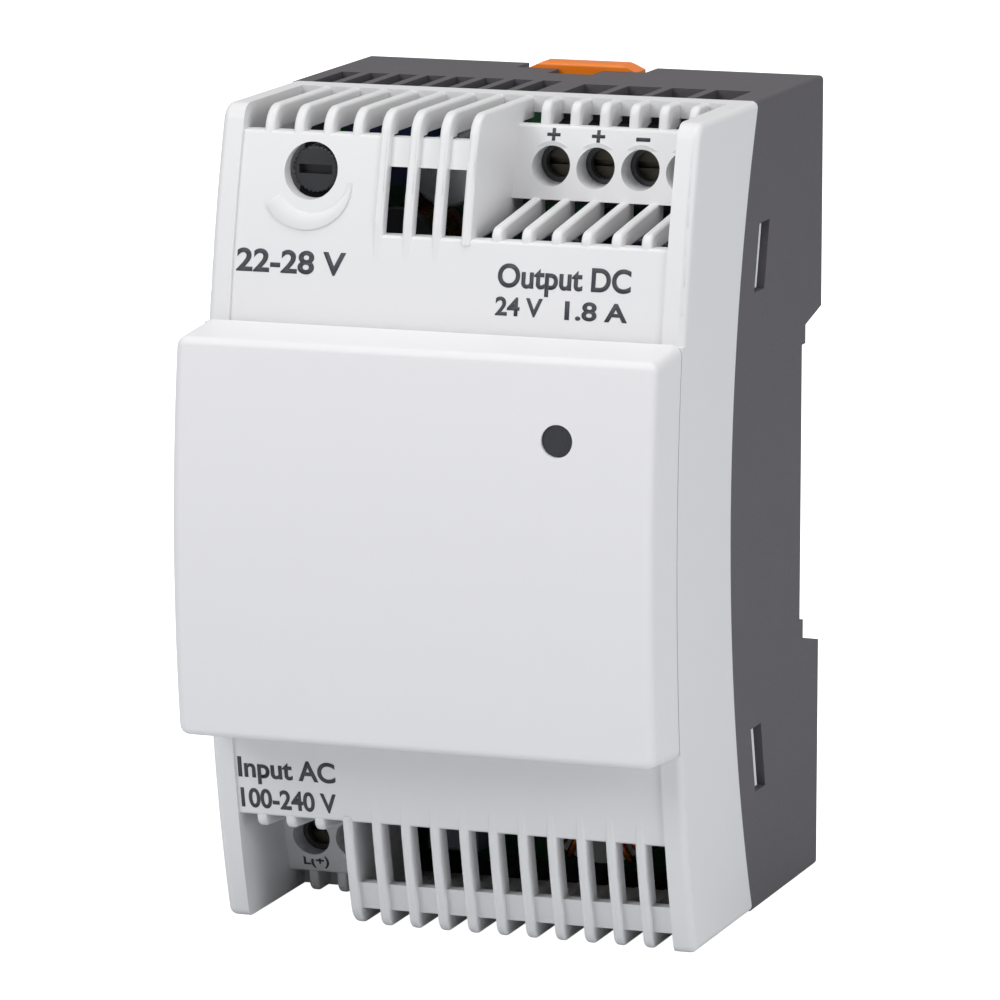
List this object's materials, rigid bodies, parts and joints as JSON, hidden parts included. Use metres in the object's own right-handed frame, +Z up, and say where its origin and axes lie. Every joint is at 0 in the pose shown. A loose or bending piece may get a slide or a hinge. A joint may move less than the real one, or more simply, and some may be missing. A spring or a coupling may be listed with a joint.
{
  "type": "din rail power supply",
  "caption": "Slim modular DIN rail power supply with a curved white front, vented shoulders, recessed screw terminals, voltage adjuster and orange rail latch.",
  "frame": {"origin": "centre of the face that seats on the rail, on the rail's centre line, midway across the housing", "axes": "+X to the right seen from the front, +Y back towards the wall behind the rail, +Z up"},
  "size_m": [0.054, 0.061, 0.0907],
  "materials": {
    "anthracite_housing": "fine spark-eroded texture",
    "white_housing": "smooth satin moulding",
    "white_cover": "very fine satin texture",
    "orange_latch": "satin gloss moulding",
    "spring_steel": "drawn wire",
    "terminal_plastic": "moulded",
    "tinned_contact": "tin plated",
    "zinc_steel": "zinc plated",
    "board_laminate": "solder mask over glass epoxy",
    "fuse_body": "moulded",
    "varistor_coating": "dipped epoxy",
    "film_capacitor_box": "moulded box",
    "dark_capacitor_box": "moulded box",
    "ferrite": "sintered",
    "choke_coating": "epoxy coated ring",
    "enamelled_copper": "enamelled wire",
    "black_foot": "moulded",
    "device_epoxy": "moulded epoxy",
    "capacitor_sleeve": "shrunk sleeve over an aluminium can",
    "aluminium_can": "drawn can",
    "heatsink_aluminium": "mill finish",
    "bobbin_plastic": "moulded",
    "winding_tape": "polyester tape",
    "disc_coating": "dipped epoxy",
    "led_lens": "diffusing epoxy",
    "indicator_lens": "smoked lens",
    "trimmer_plastic": "moulded",
    "adjuster_plastic": "moulded",
    "print_ink": "pad printed"
  },
  "bodies": {
    "housing": {"rear_housing": "anthracite_housing", "front_housing": "white_housing", "front_cover": "white_cover", "latch_spring": "spring_steel", "output_terminal_block": "terminal_plastic", "input_terminal_block": "terminal_plastic", "output_contacts": "tinned_contact", "input_contacts": "tinned_contact", "circuit_board": "board_laminate", "board_screws": "zinc_steel", "mains_fuse": "fuse_body", "varistor": "varistor_coating", "suppression_capacitor": "film_capacitor_box", "filter_capacitor": "dark_capacitor_box", "choke_core": "choke_coating", "choke_windings": "enamelled_copper", "choke_base": "black_foot", "bridge_rectifier": "device_epoxy", "bulk_capacitor": "capacitor_sleeve", "switching_transistor": "device_epoxy", "transistor_heatsink": "heatsink_aluminium", "transformer_bobbin": "bobbin_plastic", "transformer_core": "ferrite", "transformer_winding": "winding_tape", "coupling_capacitor": "disc_coating", "output_rectifier": "device_epoxy", "rectifier_heatsink": "heatsink_aluminium", "inductor_core": "ferrite", "inductor_winding": "enamelled_copper", "output_capacitors": "capacitor_sleeve", "window_capacitor": "aluminium_can", "optocoupler": "device_epoxy", "controller_chip": "device_epoxy", "status_led": "led_lens", "light_pipe": "indicator_lens", "trimmer_body": "trimmer_plastic"},
    "latch": {"rail_latch": "orange_latch"},
    "adjuster": {"trimmer_spindle": "adjuster_plastic"},
    "output_screw_1": {"output_screw_1": "zinc_steel"},
    "output_clamp_1": {"output_clamp_1": "zinc_steel"},
    "output_screw_2": {"output_screw_2": "zinc_steel"},
    "output_clamp_2": {"output_clamp_2": "zinc_steel"},
    "output_screw_3": {"output_screw_3": "zinc_steel"},
    "output_clamp_3": {"output_clamp_3": "zinc_steel"},
    "output_screw_4": {"output_screw_4": "zinc_steel"},
    "output_clamp_4": {"output_clamp_4": "zinc_steel"},
    "input_screw_1": {"input_screw_1": "zinc_steel"},
    "input_clamp_1": {"input_clamp_1": "zinc_steel"},
    "input_screw_2": {"input_screw_2": "zinc_steel"},
    "input_clamp_2": {"input_clamp_2": "zinc_steel"}
  },
  "joints": [
    {"name": "latch_slide", "type": "slide", "parent": "housing", "child": "latch", "axis": [0, 0, 1], "range_m": [0, 0.0025], "stiffness_N_per_m": 1200, "springref_m": -0.002, "deforming": ["latch_spring"]},
    {"name": "adjuster_turn", "type": "hinge", "parent": "housing", "child": "adjuster", "pos_m": [-0.01635, -0.03, 0.0383], "axis": [0, 1, 0], "range_deg": [-135, 135]},
    {"name": "output_screw_1_turn", "type": "hinge", "parent": "housing", "child": "output_screw_1", "pos_m": [0.0065, -0.022, 0.0382], "axis": [0, 1, 0], "range_deg": [0, 1080]},
    {"name": "output_clamp_1_rise", "type": "slide", "parent": "housing", "child": "output_clamp_1", "axis": [0, -1, 0], "range_m": [0, 0.0015]},
    {"name": "output_screw_2_turn", "type": "hinge", "parent": "housing", "child": "output_screw_2", "pos_m": [0.01158, -0.022, 0.0382], "axis": [0, 1, 0], "range_deg": [0, 1080]},
    {"name": "output_clamp_2_rise", "type": "slide", "parent": "housing", "child": "output_clamp_2", "axis": [0, -1, 0], "range_m": [0, 0.0015]},
    {"name": "output_screw_3_turn", "type": "hinge", "parent": "housing", "child": "output_screw_3", "pos_m": [0.01666, -0.022, 0.0382], "axis": [0, 1, 0], "range_deg": [0, 1080]},
    {"name": "output_clamp_3_rise", "type": "slide", "parent": "housing", "child": "output_clamp_3", "axis": [0, -1, 0], "range_m": [0, 0.0015]},
    {"name": "output_screw_4_turn", "type": "hinge", "parent": "housing", "child": "output_screw_4", "pos_m": [0.02174, -0.022, 0.0382], "axis": [0, 1, 0], "range_deg": [0, 1080]},
    {"name": "output_clamp_4_rise", "type": "slide", "parent": "housing", "child": "output_clamp_4", "axis": [0, -1, 0], "range_m": [0, 0.0015]},
    {"name": "input_screw_1_turn", "type": "hinge", "parent": "housing", "child": "input_screw_1", "pos_m": [-0.02145, -0.022, -0.0382], "axis": [0, 1, 0], "range_deg": [0, 1080]},
    {"name": "input_clamp_1_rise", "type": "slide", "parent": "housing", "child": "input_clamp_1", "axis": [0, -1, 0], "range_m": [0, 0.0015]},
    {"name": "input_screw_2_turn", "type": "hinge", "parent": "housing", "child": "input_screw_2", "pos_m": [-0.01637, -0.022, -0.0382], "axis": [0, 1, 0], "range_deg": [0, 1080]},
    {"name": "input_clamp_2_rise", "type": "slide", "parent": "housing", "child": "input_clamp_2", "axis": [0, -1, 0], "range_m": [0, 0.0015]}
  ],
  "couplings": [
    {"joint": "output_screw_1_turn", "follows": "output_clamp_1_rise", "rad_per_m": 12566},
    {"joint": "output_screw_2_turn", "follows": "output_clamp_2_rise", "rad_per_m": 12566},
    {"joint": "output_screw_3_turn", "follows": "output_clamp_3_rise", "rad_per_m": 12566},
    {"joint": "output_screw_4_turn", "follows": "output_clamp_4_rise", "rad_per_m": 12566},
    {"joint": "input_screw_1_turn", "follows": "input_clamp_1_rise", "rad_per_m": 12566},
    {"joint": "input_screw_2_turn", "follows": "input_clamp_2_rise", "rad_per_m": 12566}
  ]
}
